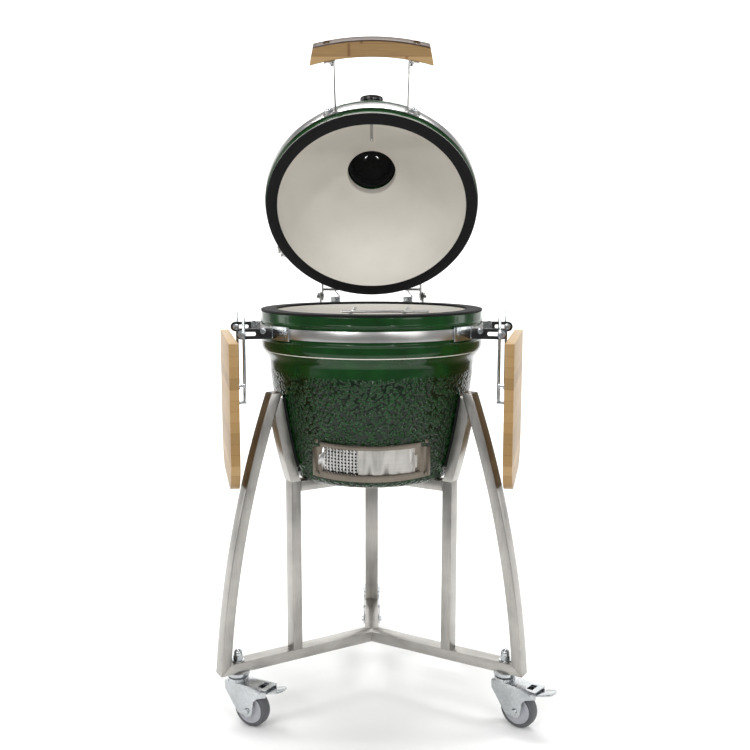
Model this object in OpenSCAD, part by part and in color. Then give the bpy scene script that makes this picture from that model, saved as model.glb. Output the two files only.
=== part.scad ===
// Ceramic kamado charcoal grill on a three-legged stainless cart with casters and two
// folding side shelves. Millimetres. +Z up, the front faces -Y, and the origin is the
// point of the floor straight under the bowl's axis.
// It is drawn at rest: lid open, both shelves hanging down.

/* [Bowl] */
// Outer radius of the bowl and of its gasket at the rim
rim_r = 230; // [228:0.5:232]
// Height of the top of the bowl's gasket above the floor
rim_z = 834; // [830:1:838]
// Thickness of the felt gaskets
gasket_t = 4; // [3:0.5:5]
// Height of the bowl's flat underside above the floor
bowl_z = 487; // [487:1:490]
// Thickness of the ceramic walls
wall = 27; // [25:1:28]

/* [Lid] */
// How far the lid stands open
lid_open = 55; // [45:1:60]
// Height of the dome above the rim, without its collar
dome_h = 190; // [186:1:194]
// Radius of the smoke hole in the top of the dome
smoke_r = 55; // [50:1:56]
// Radius of the thermometer's bezel
dial_r = 25; // [22:1:27]
// Length of the bamboo handle
handle_len = 242; // [230:2:250]

/* [Cart] */
// Width of the rectangular tube, across each leg
tube_w = 30; // [28:1:32]
// Depth of the rectangular tube
tube_d = 21; // [20:0.5:22]
// Wall of the rectangular tube
tube_t = 1.5; // [1.2:0.1:2]
// Height of the underside of the base rails
rail_z = 108; // [106:1:110]
// Distance of the outer end of each base rail from the axis
foot_r = 354.5; // [352:0.5:357]
// Distance of each caster's swivel axis from the bowl's axis
caster_r = 312.5; // [310:0.5:314]

/* [Casters] */
// Radius of the wheels
wheel_r = 37.5; // [36:0.5:38]
// Width of the tyres
tyre_w = 25; // [22:1:27]
// Distance of the axle behind the swivel axis
trail = 34; // [32:1:35]

/* [Shelves] */
// Length of each board along the side of the bowl
board_len = 320; // [300:5:330]
// Width of each board
board_w = 294; // [280:2:300]
// Thickness of each board
board_t = 18; // [16:1:20]
// How far each shelf is turned towards the front
shelf_turn = 12; // [10:1:14]

/* [Hidden] */
$fn = 96;

// Colours
glaze = [0.08, 0.22, 0.09];
cream = [0.80, 0.77, 0.70];
felt = [0.06, 0.06, 0.06];
steel = [0.72, 0.71, 0.69];
zinc = [0.62, 0.64, 0.63];
iron = [0.07, 0.07, 0.07];
bamboo = [0.74, 0.58, 0.38];

// Clearances: between bodies, of a turning pin, and between parts that only rest together
gap = 0.3;
run = 0.05;

// Bowl outline, from the tapered foot through the shoulder to the straight rim
step_z = 728;
shoulder_z = 762;
taper_r = 1093.5;
taper_x = -877.3;
taper_z = 809;
foot_round = 24;
rim_wall = 33;
band_h = 20;
band_t = 1.7;
bowl_band_z = rim_z - 51;
bead_h = 2.2;
function taper(z) = taper_x + sqrt(pow(taper_r, 2) - pow(taper_z - z, 2));

// Lid outline, a rounded dome drawn shut and turned open about the hinge pins
lid_r = 228;
lid_z = rim_z + 0.4;
dome_n = 2.3;
dome_in_r = lid_r - 25;
dome_in_h = dome_h - 27;
collar_r = 76;
collar_s = 197;
lid_band_s = 19;
hinge_y = 240;
hinge_z = 846;
function dome(s, r, h) = r * pow(1 - pow(s / h, dome_n), 1 / dome_n);

// Leg directions seen from above, and how far each caster is swivelled
leg_turn = [210, 330, 90];
caster_turn = [-29, -38, -90];

// Curves of the legs, in the upright plane of each leg
arc_r = 2100;
arc_lean = 3.9;
apex_z = 672;
kink_z = 487;
pad_t = 6.2;
inner_arc_r = 1100;
post_r = 185;

// Casters, with the trail along +X of the caster
axle_z = wheel_r;
fork_out = 20;
fork_t = 2.5;
plate_z = 88;
plate_t = 2.5;
plate_end = 80;
core_r = 28.5;
axle_r = 4;
pedal_x = 66;
pedal_z = 80;

// Shelf hinge, measured outwards from the bowl's axis along the shelf's own direction
pivot_s = 277.5;
pivot_z = 791.5;
bracket_half = 10.5;
bracket_t = 3;
bracket_at = 90;
slot_run = 24;
pin_r = 3.5;
strut_r = 3;
board_gap = 11;
board_top = 780;
board_round = 70;

// Draft door, built about an axis that leans with the bowl's taper
draft_lean = 8;
draft_z = 546;
draft_r = 187.5;
draft_h = 83;
draft_half = 38;
opening_from = -29;
opening_to = -1;
opening_h = 56;
slide_from = -31.5;
slide_to = 30;
door_span = 34;
hole_r = 1.9;
hole_rows = 8;
hole_cols = 14;
screen_span = 33.5;
screw_a = 34.5;
screw_z = 34;
hole_step = 6.9;

// Solid swept by a shape in the XZ plane about Z, from angle a to angle b, both counted
// from the front (-Y) towards the right (+X)
module front_sweep(a, b) {
    rotate([0, 0, a - 90])
        rotate_extrude(angle = b - a)
            children();
}

// A rectangle in the XZ plane between two radii and two heights
module ring_section(r0, r1, z0, z1) {
    translate([r0, z0])
        square([r1 - r0, z1 - z0]);
}

module ring(r0, r1, z0, z1) {
    rotate_extrude()
        ring_section(r0, r1, z0, z1);
}

// Puts a part drawn with the lid shut where it is with the lid open
module lid_pose() {
    translate([0, hinge_y, hinge_z])
        rotate([-lid_open, 0, 0])
            translate([0, -hinge_y, -hinge_z])
                children();
}

// Turns the leg plane (X outwards) to one of the three legs
module leg(i) {
    rotate([0, 0, leg_turn[i]])
        children();
}

// Puts a caster drawn on the origin under its leg
module caster(i) {
    leg(i)
        translate([caster_r, 0, 0])
            rotate([0, 0, caster_turn[i] - leg_turn[i]])
                children();
}

// Left shelf's own frame: X outwards, Y towards the rear; the right one is its mirror
module shelf(side) {
    mirror([side, 0, 0])
        rotate([0, 0, 180 + shelf_turn])
            mirror([0, 1, 0])
                children();
}

// ---- Bowl ----

// Outer outline of the ceramic bowl from the underside to the rim, as radius and height
function bowl_outline() = concat(
    [[0, bowl_z], [taper(bowl_z + foot_round) - foot_round, bowl_z]],
    [for (a = [-75 : 15 : 0])
        [taper(bowl_z + foot_round) - foot_round * (1 - cos(a)), bowl_z + foot_round * (1 + sin(a))]],
    [for (z = [540 : 27 : 702]) [taper(z), z]],
    [[taper(step_z), step_z]],
    [for (k = [1 : 7])
        [taper(step_z) + (rim_r - 0.5 - taper(step_z)) * (1 - cos(k * 180 / 8)) / 2,
         step_z + (shoulder_z - step_z) * k / 8]],
    [[rim_r - 0.5, shoulder_z], [rim_r - 0.5, rim_z - gasket_t - 2], [rim_r - 2.5, rim_z - gasket_t]]
);

// Inner outline from the rim down to the floor of the bowl
function bowl_inside() = concat(
    [[rim_r - rim_wall, rim_z - gasket_t], [rim_r - rim_wall, shoulder_z + 12]],
    [[taper(step_z) - wall, step_z - 6]],
    [for (z = [690 : -35 : 550]) [taper(z) - wall, z]],
    [[taper(525) - wall - 6, 522], [taper(525) - wall - 26, 513], [0, 513]]
);

// Leans the draft door forwards at the top, about the middle of its front
module draft_pose() {
    translate([0, 0, draft_z + draft_r * sin(draft_lean)])
        rotate([draft_lean, 0, 0])
            children();
}

// Sweep of a section about the leaning door axis, heights counted from its middle
module draft_sweep(a, b) {
    draft_pose()
        front_sweep(a, b)
            children();
}

// A block of the same sweep between two radii
module draft_sector(r0, r1, h, a, b) {
    draft_sweep(a, b)
        ring_section(r0, r1, -h / 2, h / 2);
}

module bowl() {
    color(glaze)
    difference() {
        union() {
            rotate_extrude()
                polygon(concat(bowl_outline(), bowl_inside()));
            for (z = [bowl_band_z - 8, bowl_band_z + band_h + 8])
                ring(rim_r - 3, rim_r - 0.5 + bead_h, z - 2.5, z + 2.5);
            draft_sector(draft_r - 18, draft_r, draft_h + 6, -draft_half - 1, draft_half + 1);
        }
        draft_sector(draft_r, draft_r + 30, draft_h + 6, -draft_half - 1, draft_half + 1);
        draft_sector(draft_r - 60, draft_r + 10, opening_h, opening_from, opening_to);
        for (a = [-screw_a, screw_a], z = [-screw_z, screw_z])
            draft_radial(a, z)
                translate([0, 0, draft_r - 16])
                    cylinder(r = 2.4, h = 20, $fn = 24);
    }
}

module bowl_gasket() {
    color(felt)
        ring(rim_r - rim_wall + 0.5, rim_r, rim_z - gasket_t, rim_z);
}

// Two ears and a bolt that draw the ends of a band together
module band_clamp(z, turn) {
    rotate([0, 0, turn])
        translate([rim_r + band_t - 0.5, 0, z + band_h / 2]) {
            for (y = [-7, 4])
                translate([0, y, -band_h / 2 + 1])
                    cube([15, 3, band_h - 2]);
            translate([9, 0, 0])
                rotate([90, 0, 0])
                    cylinder(r = 3, h = 34, center = true);
            translate([9, -7, 0])
                rotate([90, 0, 0])
                    cylinder(r = 5.8, h = 5, $fn = 6);
            translate([9, 12, 0])
                rotate([90, 0, 0])
                    cylinder(r = 5.8, h = 5, $fn = 6);
        }
}

module bowl_band() {
    color(steel) {
        ring(rim_r, rim_r + band_t, bowl_band_z, bowl_band_z + band_h);
        band_clamp(bowl_band_z, 148);
    }
}

// ---- Inside the bowl ----

box_top = 668;
ring_top = 792;
ledge_z = 578;

module firebox() {
    color(cream)
    difference() {
        rotate_extrude()
            polygon([
                [48, 513], [taper(525) - wall - 28, 513], [taper(550) - wall - 3, 552],
                [taper(box_top) - wall - 3, box_top], [taper(box_top) - wall - 21, box_top],
                [138, ledge_z], [124, ledge_z], [118, 531], [48, 531]
            ]);
        translate([-80, -200, 512])
            cube([160, 140, 62]);
    }
}

module fire_ring() {
    color(cream)
        rotate_extrude()
            polygon([
                [taper(box_top) - wall - 21, box_top], [taper(box_top) - wall - 3, box_top],
                [taper(step_z) - wall - 2.5, 718], [rim_r - rim_wall - 2.5, 775],
                [rim_r - rim_wall - 2.5, ring_top], [rim_r - rim_wall - 20.5, ring_top],
                [rim_r - rim_wall - 20.5, 775], [taper(step_z) - wall - 20.5, 718]
            ]);
}

module charcoal_grate() {
    color(iron)
    difference() {
        translate([0, 0, ledge_z])
            cylinder(r = 133, h = 8);
        for (x = [-4 : 4])
            translate([x * 26 - 5.5, -sqrt(pow(118, 2) - pow(abs(x) * 26 + 5.5, 2)), ledge_z - 1])
                cube([11, 2 * sqrt(pow(118, 2) - pow(abs(x) * 26 + 5.5, 2)), 12]);
    }
}

grate_r = 187;
bar_r = 3;
wire_r = 2;
wire_step = 13.4;
edge_r = 3.5;
grate_z = ring_top + gap + edge_r;
lifter_y = 10;
lifter_rod_r = 2.5;
lifter_z = grate_z + bar_r + 2 * wire_r + gap + lifter_rod_r;
lifter_rod_z = 825;
lifter_top_z = 834;
lifter_lean = 39;
lug_at = [-5 * wire_step, 3 * wire_step];
upright_at = [-56, 56];

function chord(y) = 2 * sqrt(pow(grate_r, 2) - pow(y, 2));

// Rod along X, centred on x
module rod_x(x, y, z, r, length) {
    translate([x, y, z])
        rotate([0, 90, 0])
            cylinder(r = r, h = length, center = true, $fn = 24);
}

// Ring, two cross bars and parallel wires on top of them, all one welded grid, with two
// lugs that the lifter turns in
module cooking_grate() {
    color(steel) {
        translate([0, 0, grate_z])
            rotate_extrude()
                translate([grate_r, 0])
                    circle(r = edge_r, $fn = 24);
        for (y = [-95, 95])
            rod_x(0, y, grate_z, bar_r, chord(y));
        for (k = [-13 : 13])
            translate([k * wire_step, 0, grate_z + bar_r + wire_r - 0.5])
                rotate([90, 0, 0])
                    cylinder(r = wire_r, h = chord(k * wire_step), center = true, $fn = 24);
        for (x = lug_at)
            difference() {
                rod_x(x, lifter_y, lifter_z, 5, 4);
                rod_x(x, lifter_y, lifter_z, lifter_rod_r + run, 8);
            }
    }
}

// Fold-down lifter: a rod in the lugs, two leaning flat uprights and a rod across them
module grate_handle() {
    color(steel) {
        rod_x(-6, lifter_y, lifter_z, lifter_rod_r, 132);
        rod_x(29, lifter_y, lifter_rod_z, lifter_rod_r, 182);
        for (x = upright_at)
            translate([x, lifter_y, lifter_z])
                rotate([0, lifter_lean, 0])
                    translate([-3, -1.5, -1])
                        cube([6, 3, (lifter_top_z - lifter_z) / cos(lifter_lean) + 1]);
    }
}

// ---- Draft door ----

// Direction of an angle on the door, for what is drilled or screwed square to its face
module draft_radial(a, z) {
    draft_pose()
        rotate([0, 0, a])
            translate([0, 0, z])
                rotate([90, 0, 0])
                    children();
}

track = 29.5;
lip = 33.5;

module draft_frame() {
    color(steel) {
        difference() {
            draft_sweep(-draft_half, draft_half)
                ring_section(draft_r + 0.2, draft_r + 1.4, -draft_h / 2, draft_h / 2);
            draft_sweep(opening_from + 1, opening_to - 1)
                ring_section(draft_r - 4, draft_r + 4, -opening_h / 2 + 2, opening_h / 2 - 2);
        }
        for (s = [-1, 1])
            draft_sweep(slide_from, slide_to)
                polygon([
                    [draft_r + 0.9, s * track], [draft_r + 0.9, s * (lip + 1)], [draft_r + 6, s * (lip + 1)],
                    [draft_r + 6, s * (track - 4)], [draft_r + 4.8, s * (track - 4)], [draft_r + 4.8, s * track]
                ]);
        for (a = [-screw_a, screw_a], z = [-screw_z, screw_z])
            draft_radial(a, z)
                translate([0, 0, draft_r - 14]) {
                    cylinder(r = 2, h = 16, $fn = 24);
                    translate([0, 0, 15])
                        cylinder(r = 4.6, h = 2.8, $fn = 32);
                }
    }
}

module draft_screen() {
    color(steel)
    difference() {
        union() {
            draft_sweep(slide_from + 0.5, slide_from + screen_span)
                ring_section(draft_r + 1.8, draft_r + 2.7, -track + 0.5, track - 0.5);
            draft_sweep(slide_from, slide_from + 1)
                ring_section(draft_r + 1.8, draft_r + 12, -10, 10);
        }
        for (c = [0 : hole_cols - 1], r = [0 : hole_rows - 1])
            draft_radial(slide_from + 3.2 + c * hole_step / draft_r * 180 / PI, (r - (hole_rows - 1) / 2) * hole_step)
                translate([0, 0, draft_r])
                    cylinder(r = hole_r, h = 6, $fn = 16);
    }
}

module draft_door() {
    color(steel) {
        draft_sweep(-7.8, -7.8 + door_span)
            ring_section(draft_r + 3.4, draft_r + 4.4, -track + 0.5, track - 0.5);
        draft_sweep(-7.8 + door_span - 1, -7.8 + door_span)
            ring_section(draft_r + 4, draft_r + 13, -13, 13);
    }
}

// ---- Lid ----

// Outer outline of the dome, from its rim up to the collar round the smoke hole
dome_steps = 26;
function dome_points(r, h, from, to) = [
    for (k = [0 : dome_steps])
        let (s = from + (to - from) * (1 - pow(1 - k / dome_steps, 1.7)))
        [dome(s, r, h), lid_z + s]
];

collar_from = dome_h * pow(1 - pow(collar_r / (lid_r + 3), dome_n), 1 / dome_n);
smoke_s = dome_in_h * pow(1 - pow(smoke_r / dome_in_r, dome_n), 1 / dome_n);

module lid_dome() {
    color(glaze)
    lid_pose()
    difference() {
        union() {
            rotate_extrude()
                polygon(concat(
                    [[dome_in_r + 1.5, lid_z + gasket_t], [lid_r - 1.5, lid_z + gasket_t], [lid_r, lid_z + gasket_t + 2]],
                    dome_points(lid_r + 3, dome_h, 44, collar_from),
                    [[collar_r, lid_z + collar_s - 3], [collar_r - 3, lid_z + collar_s],
                     [smoke_r, lid_z + collar_s], [smoke_r, lid_z + smoke_s]],
                    [for (k = [1 : dome_steps])
                        let (s = smoke_s * pow(1 - k / dome_steps, 1.7) + 6 * k / dome_steps)
                        [dome(s, dome_in_r, dome_in_h), lid_z + s]]
                ));
            for (s = [lid_band_s - 7, lid_band_s + band_h + 9])
                ring(lid_r - 4, lid_r + bead_h, lid_z + s - 2.5, lid_z + s + 2.5);
        }
        dial_axis()
            translate([0, 0, -60])
                cylinder(r = 4, h = 80);
    }
}

module lid_gasket() {
    color(felt)
    lid_pose()
        ring(dome_in_r + 1, lid_r, lid_z, lid_z + gasket_t);
}

module lid_band() {
    color(steel)
    lid_pose() {
        ring(lid_r + 0.6, rim_r + band_t, lid_z + lid_band_s, lid_z + lid_band_s + band_h + 2);
        band_clamp(lid_z + lid_band_s + 1, 148);
    }
}

// ---- Hinge ----

ear_x = 117;
ear_t = 4;
pin_bolt_r = 4;
rod_y = 24;
rod_z = 14;
spring_x = 86;
spring_low = 712;
strip_y = 218.8;
saddle_r = rim_r + band_t + gap;

// Sector of a saddle plate that lies on a band, at the back
module rear_saddle(z0, z1, half) {
    rotate([0, 0, 180])
        front_sweep(-half, half)
            ring_section(saddle_r, saddle_r + 3, z0, z1);
}

module hinge_lower() {
    color(steel) {
        difference() {
            union() {
                rear_saddle(bowl_band_z - 4, bowl_band_z + band_h + 2, 31.5);
                for (s = [-1, 1])
                    translate([s * (ear_x + ear_t / 2) - ear_t / 2, 0, 0])
                        rotate([90, 0, 90])
                            linear_extrude(ear_t)
                                polygon([
                                    [200.5, bowl_band_z - 4], [224, bowl_band_z - 4], [250, 828], [250, 855],
                                    [229, 855], [206, 820], [200.5, 805]
                                ]);
                for (s = [-1, 1])
                    translate([s * spring_x - 8, strip_y, spring_low - 14])
                        cube([16, 3, bowl_band_z - spring_low + 14]);
            }
            translate([-150, hinge_y, hinge_z])
                rotate([0, 90, 0])
                    cylinder(r = pin_bolt_r + run, h = 300);
        }
        for (s = [-1, 1])
            translate([s * spring_x, strip_y + 2, spring_low - 8])
                rotate([-90, 0, 0])
                    cylinder(r = 3, h = hinge_y + rod_y + 7 - strip_y);
    }
}

// Where the spring rod sits relative to the pins with the lid shut, so that with the lid
// open it stands rod_y behind them and rod_z above them
spring_off_y = rod_y * cos(lid_open) - rod_z * sin(lid_open);
spring_off_z = rod_y * sin(lid_open) + rod_z * cos(lid_open);

module hinge_upper() {
    color(steel)
    lid_pose() {
        rear_saddle(lid_z + lid_band_s, lid_z + lid_band_s + band_h + 2, 31);
        for (s = [-1, 1])
            translate([s * (ear_x - ear_t / 2 - 0.5) - ear_t / 2, 0, 0])
                rotate([90, 0, 90])
                    linear_extrude(ear_t)
                        polygon([
                            [203.2, lid_z + lid_band_s], [224, hinge_z - 9], [247, hinge_z - 9],
                            [251, hinge_z + 5], [251, 882], [203.2, 882]
                        ]);
        for (s = [-1, 1])
            translate([s * ear_x, hinge_y, hinge_z])
                rotate([0, s * 90, 0]) {
                    translate([0, 0, -6])
                        cylinder(r = pin_bolt_r, h = 18);
                    translate([0, 0, ear_t + 1.2])
                        cylinder(r = 7, h = 6, $fn = 6);
                }
        for (s = [-1, 1])
            translate([s * (ear_x - 2), hinge_y + spring_off_y, hinge_z + spring_off_z])
                rotate([0, -s * 90, 0])
                    cylinder(r = 3, h = ear_x - spring_x + 6);
    }
}

// Each extension spring as its outer tube, between an eye on the rod and one on the stud
module hinge_springs() {
    color(zinc)
    for (s = [-1, 1])
        translate([s * spring_x, hinge_y + rod_y, 0]) {
            translate([0, 0, spring_low + 8])
                difference() {
                    cylinder(r = 12, h = hinge_z - spring_low - 8);
                    translate([0, 0, 4])
                        cylinder(r = 8, h = hinge_z - spring_low - 16);
                }
            translate([0, 0, hinge_z])
                cylinder(r = 2, h = rod_z - 3 - gap);
            translate([0, 0, spring_low - 8 + 3 + gap])
                cylinder(r = 2, h = 13 - gap);
        }
}

// ---- Handle ----

bar_mid_y = 80;
bar_in_r = 415;
bar_out_r = 449;
bar_low = 853;
bar_h = 23;
arm_x = 72;
arm_t = 2.5;
arm_h = 20;
arm_start = -222;
arm_end = -327.5;
arm_z = lid_z + lid_band_s + 1;
bar_bolt_a = 11.2;
band_bolt_a = 21.4;

module handle_bar() {
    color(bamboo)
    lid_pose()
    difference() {
        intersection() {
            translate([0, bar_mid_y, 0])
                front_sweep(-20, 20)
                    polygon([
                        [bar_in_r, bar_low + 3], [bar_in_r + 3, bar_low], [bar_out_r - 3, bar_low], [bar_out_r, bar_low + 3],
                        [bar_out_r, bar_low + bar_h - 3], [bar_out_r - 3, bar_low + bar_h],
                        [bar_in_r + 3, bar_low + bar_h], [bar_in_r, bar_low + bar_h - 3]
                    ]);
            translate([0, 0, bar_low - 5])
                linear_extrude(bar_h + 10)
                    polygon([
                        [-handle_len / 2, -300], [handle_len / 2, -300], [handle_len / 2, -318],
                        [handle_len / 2 - 12, -372], [-handle_len / 2 + 12, -372], [-handle_len / 2, -318]
                    ]);
        }
        for (a = [-bar_bolt_a, bar_bolt_a])
            translate([0, bar_mid_y, bar_low + bar_h / 2])
                rotate([0, 0, a])
                    rotate([90, 0, 0]) {
                        translate([0, 0, bar_in_r - 10])
                            cylinder(r = 3.2, h = 60);
                        translate([0, 0, bar_out_r - 9])
                            cylinder(r = 7, h = 20);
                    }
    }
}

// Flat arms with a foot on the lid's band and a foot on the bar
module handle_arms() {
    color(steel)
    lid_pose()
    for (s = [0, 1])
        mirror([s, 0, 0])
        difference() {
            union() {
                translate([arm_x, arm_end, arm_z])
                    cube([arm_t, arm_start - arm_end, arm_h]);
                front_sweep(18, 24.6)
                    ring_section(saddle_r, saddle_r + arm_t, arm_z, arm_z + arm_h);
                translate([0, bar_mid_y, 0])
                    front_sweep(9.95, 12.9)
                        ring_section(bar_in_r - gap - arm_t, bar_in_r - gap, arm_z, arm_z + arm_h);
            }
            translate([0, bar_mid_y, bar_low + bar_h / 2])
                rotate([0, 0, bar_bolt_a])
                    rotate([90, 0, 0])
                        translate([0, 0, bar_in_r - 12])
                            cylinder(r = 3.2, h = 20);
            rotate([0, 0, band_bolt_a])
                translate([0, 0, arm_z + arm_h / 2])
                    rotate([90, 0, 0])
                        translate([0, 0, saddle_r - 5])
                            cylinder(r = 3.2, h = 20);
        }
}

module handle_bolts() {
    color(zinc)
    lid_pose()
    for (s = [-1, 1]) {
        translate([0, bar_mid_y, bar_low + bar_h / 2])
            rotate([0, 0, s * bar_bolt_a])
                rotate([90, 0, 0]) {
                    translate([0, 0, bar_in_r - 14])
                        cylinder(r = 3, h = bar_out_r - bar_in_r + 10);
                    translate([0, 0, bar_out_r - 8])
                        cylinder(r = 6, h = 5);
                    translate([0, 0, bar_in_r - gap - arm_t - 5.2])
                        cylinder(r = 5.5, h = 5, $fn = 6);
                }
        rotate([0, 0, s * band_bolt_a])
            translate([0, 0, arm_z + arm_h / 2])
                rotate([90, 0, 0]) {
                    translate([0, 0, saddle_r + 0.1])
                        cylinder(r = 3, h = arm_t + 8);
                    translate([0, 0, saddle_r + arm_t + 0.2])
                        cylinder(r = 6, h = 5, $fn = 6);
                }
    }
}

// ---- Thermometer ----

dial_s = 130;
dial_lean = 45;
dial_wall = 29;
needle_r = 1.4;
probe = 49;

// The thermometer's axis, square to the dome, with its zero on the dome's outer surface
module dial_axis() {
    translate([0, -dome(dial_s, lid_r + 3, dome_h), lid_z + dial_s])
        rotate([90 - dial_lean, 0, 0])
            children();
}

module dial_case() {
    color(steel)
    lid_pose()
    dial_axis()
        difference() {
            union() {
                translate([0, 0, gap])
                    cylinder(r = dial_r - 4, h = 4);
                translate([0, 0, 4])
                    cylinder(r = dial_r, h = 9);
            }
            translate([0, 0, 9])
                cylinder(r = dial_r - 2.5, h = 10);
            cylinder(r = needle_r, h = 12);
        }
}

module dial_stem() {
    color(steel)
    lid_pose()
    dial_axis() {
        translate([0, 0, -dial_wall - probe])
            cylinder(r = 3.3, h = dial_wall + probe + gap);
        translate([0, 0, -dial_wall - 6.5])
            cylinder(r = 7, h = 6, $fn = 6);
        cylinder(r = needle_r, h = 11.4);
    }
}

module dial_needle() {
    color(iron)
    lid_pose()
    dial_axis()
        difference() {
            union() {
                translate([0, 0, 9 + gap])
                    cylinder(r = 3, h = 1.6);
                translate([0, 0, 9 + gap + 0.4])
                    rotate([0, 0, 215])
                        translate([-0.7, -6, 0])
                            cube([1.4, dial_r - 1, 0.8]);
            }
            cylinder(r = needle_r + run, h = 20);
        }
}

// ---- Top vent ----

flange_r = 82;
seat_s = collar_s;
flange_t = 6;
cap_r = 62;
cap_s = seat_s + flange_t + gap;
cap_t = 6;
wheel_s = cap_s + cap_t + gap;
vent_wheel_r = 44;
slit_in = 16;
slit_out = 21;
cap_pin_y = 70;

// Curved draught slits, one each side of the front
module slits(z, h) {
    for (a = [-45, 45])
        rotate([0, 0, a])
            front_sweep(-17, 17)
                ring_section(slit_in, slit_out, z, z + h);
}

module vent_base() {
    color(iron)
    lid_pose() {
        difference() {
            ring(46, flange_r, lid_z + seat_s, lid_z + seat_s + flange_t);
            translate([0, cap_pin_y, lid_z + seat_s - 1])
                cylinder(r = 4 + run, h = flange_t + 2);
        }
        ring(smoke_r - 7, smoke_r - 1.5, lid_z + seat_s - 12, lid_z + seat_s);
    }
}

module vent_cap() {
    color(iron)
    lid_pose()
    difference() {
        union() {
            translate([0, 0, lid_z + cap_s])
                cylinder(r = cap_r, h = cap_t);
            translate([0, cap_pin_y, lid_z + cap_s])
                cylinder(r = 11, h = cap_t + 5);
            translate([0, cap_pin_y, lid_z + seat_s + gap])
                cylinder(r = 4, h = flange_t + 2);
            translate([-11, cap_pin_y - 22, lid_z + cap_s])
                cube([22, 22, cap_t]);
            translate([0, -52, lid_z + cap_s + cap_t - 1])
                cylinder(r = 5, h = 14);
            translate([0, -52, lid_z + cap_s + cap_t + 17])
                sphere(r = 9);
            translate([0, 0, lid_z + cap_s + cap_t - 1])
                cylinder(r = 4, h = 8);
        }
        slits(lid_z + cap_s - 1, cap_t + 2);
    }
}

module vent_wheel() {
    color(iron)
    lid_pose()
    difference() {
        union() {
            translate([0, 0, lid_z + wheel_s])
                cylinder(r = vent_wheel_r - 2, h = 4);
            translate([0, 0, lid_z + wheel_s])
                cylinder(r = 12, h = 6);
            rotate([0, 0, 25])
                translate([18, -4, lid_z + wheel_s + 3])
                    cube([20, 8, 14]);
        }
        translate([0, 0, lid_z + wheel_s - 1])
            cylinder(r = 4 + run, h = 20);
        slits(lid_z + wheel_s - 1, 6);
    }
}

// ---- Cart ----

// Section of the tube, hollow, with its outer face at the given radius
module tube_section(r) {
    difference() {
        translate([r - tube_d, -tube_w / 2])
            square([tube_d, tube_w]);
        translate([r - tube_d + tube_t, -tube_w / 2 + tube_t])
            square([tube_d - 2 * tube_t, tube_w - 2 * tube_t]);
    }
}

arc_x = foot_r - arc_r * cos(arc_lean);
arc_z = rail_z - arc_r * sin(arc_lean);

// The corner where the curved leg and the rail meet on a mitre
module mitre() {
    translate([foot_r - tube_d - 0.8, 0, rail_z + tube_d])
        rotate([0, 45 - 1.1, 0])
            translate([-600, -50, 0])
                cube([900, 100, 700]);
}

module outer_leg(i) {
    color(steel)
    leg(i)
    intersection() {
        translate([arc_x, 0, arc_z])
            rotate([90, 0, 0])
                rotate([0, 0, arc_lean - 1])
                    rotate_extrude(angle = 18, $fn = 360)
                        tube_section(arc_r);
        translate([150, -50, rail_z])
            cube([250, 100, apex_z - rail_z]);
        mitre();
    }
}

// Solid envelope of the curved leg, to fit the inner tube against
module outer_leg_shadow() {
    translate([arc_x, 0, arc_z])
        rotate([90, 0, 0])
            rotate([0, 0, arc_lean - 1])
                rotate_extrude(angle = 20, $fn = 360)
                    translate([arc_r - tube_d - gap, -30])
                        square([120, 60]);
}

module inner_leg(i) {
    color(steel)
    leg(i)
    difference() {
        intersection() {
            translate([taper_x, 0, taper_z])
                rotate([90, 0, 0])
                    rotate([0, 0, -25])
                        rotate_extrude(angle = 22, $fn = 360)
                            tube_section(inner_arc_r + tube_d);
            translate([150, -50, kink_z])
                cube([120, 100, apex_z - kink_z]);
        }
        outer_leg_shadow();
    }
}

// Three tubes that meet at the axis, each cut to its own third
module spoke(z, r) {
    hub = tube_w / 2 / tan(60);
    difference() {
        translate([0, 0, z])
            linear_extrude(tube_d)
                polygon([[0.02, 0], [hub, -tube_w / 2 + 0.02], [r, -tube_w / 2 + 0.02],
                         [r, tube_w / 2 - 0.02], [hub, tube_w / 2 - 0.02]]);
        translate([hub + 4, -tube_w / 2 + tube_t, z + tube_t])
            cube([r, tube_w - 2 * tube_t, tube_d - 2 * tube_t]);
    }
}

module base_rail(i) {
    color(steel)
    leg(i)
    difference() {
        spoke(rail_z, foot_r);
        mitre();
        translate([caster_r, 0, rail_z - 5])
            cylinder(r = 6.2, h = tube_d + 10);
    }
}

module leg_posts() {
    color(steel)
    for (i = [0 : 2])
        leg(i)
            translate([0, 0, rail_z + tube_d])
                linear_extrude(kink_z - rail_z - tube_d)
                    tube_section(post_r + tube_d / 2);
}

module support_bars() {
    color(steel)
    for (i = [0 : 2])
        leg(i)
            spoke(bowl_z - tube_d, post_r - tube_d / 2);
}

module bowl_pads() {
    color(felt)
    for (i = [0 : 2])
        leg(i)
            intersection() {
                translate([taper_x, 0, taper_z])
                    rotate([90, 0, 0])
                        rotate([0, 0, -25])
                            rotate_extrude(angle = 22, $fn = 360)
                                translate([inner_arc_r - pad_t, -tube_w / 2 + 1])
                                    square([pad_t - gap, tube_w - 2]);
                translate([150, -50, kink_z + 30])
                    cube([120, 100, apex_z - kink_z - 40]);
            }
}

// Acorn nuts on the caster stems, on top of the base rails
module cap_nuts() {
    color(zinc)
    for (i = [0 : 2])
        caster(i) {
            translate([0, 0, rail_z + tube_d])
                cylinder(r = 13, h = 2);
            translate([0, 0, rail_z + tube_d + 2])
                cylinder(r = 10.4, h = 10, $fn = 6);
            translate([0, 0, rail_z + tube_d + 12])
                cylinder(r = 9, h = 4);
            translate([0, 0, rail_z + tube_d + 16])
                sphere(r = 9);
        }
}

// ---- Casters ----

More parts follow.
